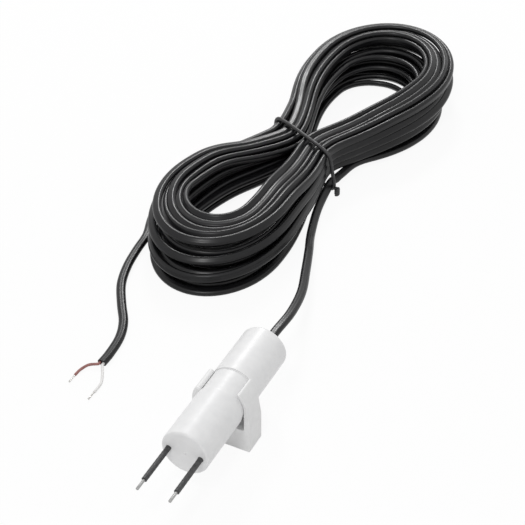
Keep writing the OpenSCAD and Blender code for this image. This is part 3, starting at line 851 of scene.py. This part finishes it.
def surface(name, colours, grain, rough, relief, metallic=0.0, stretch=(1, 1, 1), lengthwise=False,
            sockets=()):
    """A procedural material: two colours mixed by a noise with grain cells to the metre, a roughness that
    varies between two values, and a fine relief given as (strength, depth in millimetres)."""
    made = bpy.data.materials.new(name)
    made.use_nodes = True
    tree = made.node_tree
    shader = tree.nodes["Principled BSDF"]
    shader.inputs["Metallic"].default_value = metallic
    for socket, value in sockets:
        shader.inputs[socket].default_value = value
    place = tree.nodes.new("ShaderNodeTexCoord")
    scale = tree.nodes.new("ShaderNodeMapping")
    scale.inputs["Scale"].default_value = stretch
    tree.links.new(place.outputs["UV" if lengthwise else "Object"], scale.inputs["Vector"])

    def noise(cells, detail):
        node = tree.nodes.new("ShaderNodeTexNoise")
        node.inputs["Scale"].default_value = cells
        node.inputs["Detail"].default_value = detail
        tree.links.new(scale.outputs["Vector"], node.inputs["Vector"])
        return node.outputs[0]

    ramp = tree.nodes.new("ShaderNodeValToRGB")
    for stop, place_on, colour in zip(ramp.color_ramp.elements, (0.35, 0.65), colours):
        stop.position = place_on
        stop.color = (*colour, 1)
    tree.links.new(noise(grain, 4), ramp.inputs["Fac"])
    tree.links.new(ramp.outputs["Color"], shader.inputs["Base Color"])
    spread = tree.nodes.new("ShaderNodeMapRange")
    spread.inputs["From Min"].default_value = 0.3
    spread.inputs["From Max"].default_value = 0.7
    spread.inputs["To Min"].default_value, spread.inputs["To Max"].default_value = rough
    tree.links.new(noise(2.3 * grain, 3), spread.inputs["Value"])
    tree.links.new(spread.outputs["Result"], shader.inputs["Roughness"])
    bump = tree.nodes.new("ShaderNodeBump")
    bump.inputs["Strength"].default_value = relief[0]
    bump.inputs["Distance"].default_value = relief[1] * MM
    tree.links.new(noise(4.1 * grain, 5), bump.inputs["Height"])
    tree.links.new(bump.outputs["Normal"], shader.inputs["Normal"])
    return made


def tube_plastic():
    return surface("tube plastic", [(0.79, 0.79, 0.795), (0.83, 0.83, 0.832)], 260, (0.34, 0.44),
                   (0.12, 0.05))


def clip_plastic():
    return surface("clip plastic", [(0.80, 0.80, 0.80), (0.84, 0.84, 0.84)], 330, (0.36, 0.5), (0.18, 0.05))


def cap_plastic():
    return surface("cap plastic", [(0.74, 0.74, 0.745), (0.79, 0.79, 0.79)], 300, (0.4, 0.5), (0.2, 0.05))


def jacket_pvc():
    return surface("jacket pvc", [(0.004, 0.004, 0.0045), (0.007, 0.007, 0.008)], 60, (0.28, 0.36),
                   (0.02, 0.06),
                   stretch=(3, 0.12, 1), lengthwise=True, sockets=[("Specular IOR Level", 0.3)])


def black_rubber():
    return surface("black rubber", [(0.014, 0.014, 0.014), (0.024, 0.024, 0.024)], 900, (0.5, 0.65),
                   (0.3, 0.05))


def sleeve_plastic():
    return surface("sleeve plastic", [(0.028, 0.028, 0.029), (0.06, 0.06, 0.061)], 700, (0.38, 0.6),
                   (0.5, 0.06))


def bright_metal():
    return surface("bright metal", [(0.30, 0.30, 0.30), (0.44, 0.44, 0.43)], 500, (0.3, 0.45),
                   (0.3, 0.03), 1.0,
                   stretch=(6, 0.4, 6))


def tin():
    return surface("tin", [(0.56, 0.55, 0.53), (0.72, 0.71, 0.69)], 900, (0.25, 0.42), (0.3, 0.03), 1.0)


def potting_resin():
    return surface("potting resin", [(0.06, 0.065, 0.07), (0.13, 0.135, 0.14)], 220, (0.15, 0.3),
                   (0.15, 0.08))


def board_mask():
    return surface("board mask", [(0.012, 0.10, 0.035), (0.03, 0.20, 0.07)], 420, (0.25, 0.4), (0.3, 0.05),
                   stretch=(1, 0.15, 1))


def resistor_body():
    return surface("resistor body", [(0.012, 0.012, 0.012), (0.035, 0.035, 0.035)], 1500, (0.35, 0.5),
                   (0.2, 0.03))


def capacitor_body():
    return surface("capacitor body", [(0.30, 0.20, 0.11), (0.42, 0.30, 0.18)], 1300, (0.35, 0.5),
                   (0.2, 0.03))


def red_core():
    return surface("red core", [(0.25, 0.10, 0.09), (0.33, 0.14, 0.125)], 500, (0.35, 0.5), (0.2, 0.03))


def white_core():
    return surface("white core", [(0.76, 0.75, 0.74), (0.84, 0.83, 0.82)], 500, (0.35, 0.5), (0.2, 0.03))


def tie_plastic():
    return surface("tie plastic", [(0.014, 0.014, 0.015), (0.026, 0.026, 0.027)], 500, (0.4, 0.55),
                   (0.25, 0.04))


# Floor and light


def rays_that_see(tree):
    """1 for camera, glossy and transmission rays, which see the studio's white, and 0 for the others."""
    path = tree.nodes.new("ShaderNodeLightPath")
    total = path.outputs["Is Camera Ray"]
    for name in ("Is Glossy Ray", "Is Transmission Ray"):
        add = tree.nodes.new("ShaderNodeMath")
        add.operation = "MAXIMUM"
        tree.links.new(total, add.inputs[0])
        tree.links.new(path.outputs[name], add.inputs[1])
        total = add.outputs[0]
    return total


def add_floor():
    """A white floor that takes the object's shadow softly."""
    mesh = bpy.data.meshes.new("floor")
    mesh.from_pydata([(-3, -3, 0), (3, -3, 0), (3, 3, 0), (-3, 3, 0)], [], [(0, 1, 2, 3)])
    floor = add_piece("floor", mesh)
    made = bpy.data.materials.new("floor")
    made.use_nodes = True
    tree = made.node_tree
    shader = tree.nodes["Principled BSDF"]
    shader.inputs["Base Color"].default_value = (0.9, 0.9, 0.9, 1)
    shader.inputs["Roughness"].default_value = 0.9
    shader.inputs["Specular IOR Level"].default_value = 0.0
    glow = tree.nodes.new("ShaderNodeEmission")
    glow.inputs["Strength"].default_value = 1.0
    mix = tree.nodes.new("ShaderNodeMixShader")
    share = tree.nodes.new("ShaderNodeMath")
    share.operation = "MULTIPLY"
    share.inputs[1].default_value = WHITE_SHARE
    tree.links.new(rays_that_see(tree), share.inputs[0])
    tree.links.new(share.outputs[0], mix.inputs[0])
    tree.links.new(shader.outputs[0], mix.inputs[1])
    tree.links.new(glow.outputs[0], mix.inputs[2])
    tree.links.new(mix.outputs[0], tree.nodes["Material Output"].inputs["Surface"])
    mesh.materials.append(made)


def add_lamp(name, place, target, size, power):
    """A soft lamp aimed at a point."""
    data = bpy.data.lights.new(name, "AREA")
    data.shape = "RECTANGLE"
    data.size, data.size_y = size
    data.energy = power
    lamp = bpy.data.objects.new(name, data)
    lamp.location = place
    lamp.rotation_euler = (Vector(target) - Vector(place)).to_track_quat("-Z", "Y").to_euler()
    bpy.context.scene.collection.objects.link(lamp)


def add_world(strength):
    """Even white light all round, and pure white where it is seen."""
    world = bpy.data.worlds.new("world")
    world.use_nodes = True
    tree = world.node_tree
    shade = tree.nodes["Background"]
    shade.inputs["Color"].default_value = (1, 1, 1, 1)
    level = tree.nodes.new("ShaderNodeMapRange")
    level.inputs["To Min"].default_value = strength
    level.inputs["To Max"].default_value = 1.0
    tree.links.new(rays_that_see(tree), level.inputs["Value"])
    tree.links.new(level.outputs["Result"], shade.inputs["Strength"])
    bpy.context.scene.world = world


# The scene


def dress(piece, material, body, slot, *nodes):
    """Gives a new piece its material and the body it rides on, and hides the nodes that it stands for. The
    slot is not used.
    """
    piece.data.materials.clear()
    piece.data.materials.append(material)
    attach(piece, body)
    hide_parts(*nodes)


def finish_node(name, material):
    """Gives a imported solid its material."""
    node = bpy.data.objects[name]
    node.data.materials.clear()
    node.data.materials.append(material)


add_camera()
route, roll = cable_route()
cable = loft("cable", swept_rings(route, flat_profile(), roll), sharp=60)
outline = tie_outline(route)
tie, knot = make_tie(outline), make_knot(outline)
red = make_core("core_red", -1, RED_POINTS, RED_END)
white = make_core("core_white", 1, WHITE_POINTS, WHITE_END)
red_wire = make_wire("wire_red", RED_END)
white_wire = make_wire("wire_white", WHITE_END)

metal, tinned, sleeve_black, tie_black = bright_metal(), tin(), sleeve_plastic(), tie_plastic()
red_plastic, white_plastic, rubber = red_core(), white_core(), black_rubber()

dress(cable, jacket_pvc(), "probe", "cable_jacket", "cable_lead", "cable_hank", "cable_tail")
dress(tie, tie_black, "probe", "tie_plastic", "hank_tie")
dress(knot, tie_black, "probe", "tie_plastic", "tie_knot")
dress(red, red_plastic, "probe", "red_core", "end_core_red")
dress(white, white_plastic, "probe", "white_core", "end_core_white")
dress(red_wire, tinned, "probe", "tin", "end_wire_red")
dress(white_wire, tinned, "probe", "tin", "end_wire_white")
dress(make_tube(), tube_plastic(), "probe", "tube_plastic", "sensor_tube")
dress(make_cap(), cap_plastic(), "probe", "tube_plastic", "rear_cap")
dress(make_seal(), rubber, "probe", "black_rubber", "cable_seal")
for name, side in (("left", -1), ("right", 1)):
    dress(make_electrode(name, side), metal, "probe", "bright_metal", f"electrode_{name}")
    dress(make_sleeve(name, side), sleeve_black, "probe", "sleeve_plastic", f"sleeve_{name}")
dress(make_clip(), clip_plastic(), "clip", "clip_plastic", "mounting_clip")

finish_node("cap_seal", rubber)
finish_node("cable_clamp", metal)
finish_node("potting_resin", potting_resin())
finish_node("circuit_board", board_mask())
finish_node("series_resistors", resistor_body())
finish_node("filter_capacitor", capacitor_body())
finish_node("electrode_solder", tinned)
finish_node("core_solder", tinned)
finish_node("inner_core_red", red_plastic)
finish_node("inner_core_white", white_plastic)

add_floor()
add_world(WORLD_LEVEL)
add_lamp("back lamp", (-0.43, 0.93, 0.70), LAMP_TARGET, LAMP_SIZE, 5)
add_lamp("front lamp", (0.05, -0.45, 0.95), LAMP_TARGET, LAMP_SIZE, 3)
bpy.context.scene.view_settings.view_transform = "Standard"
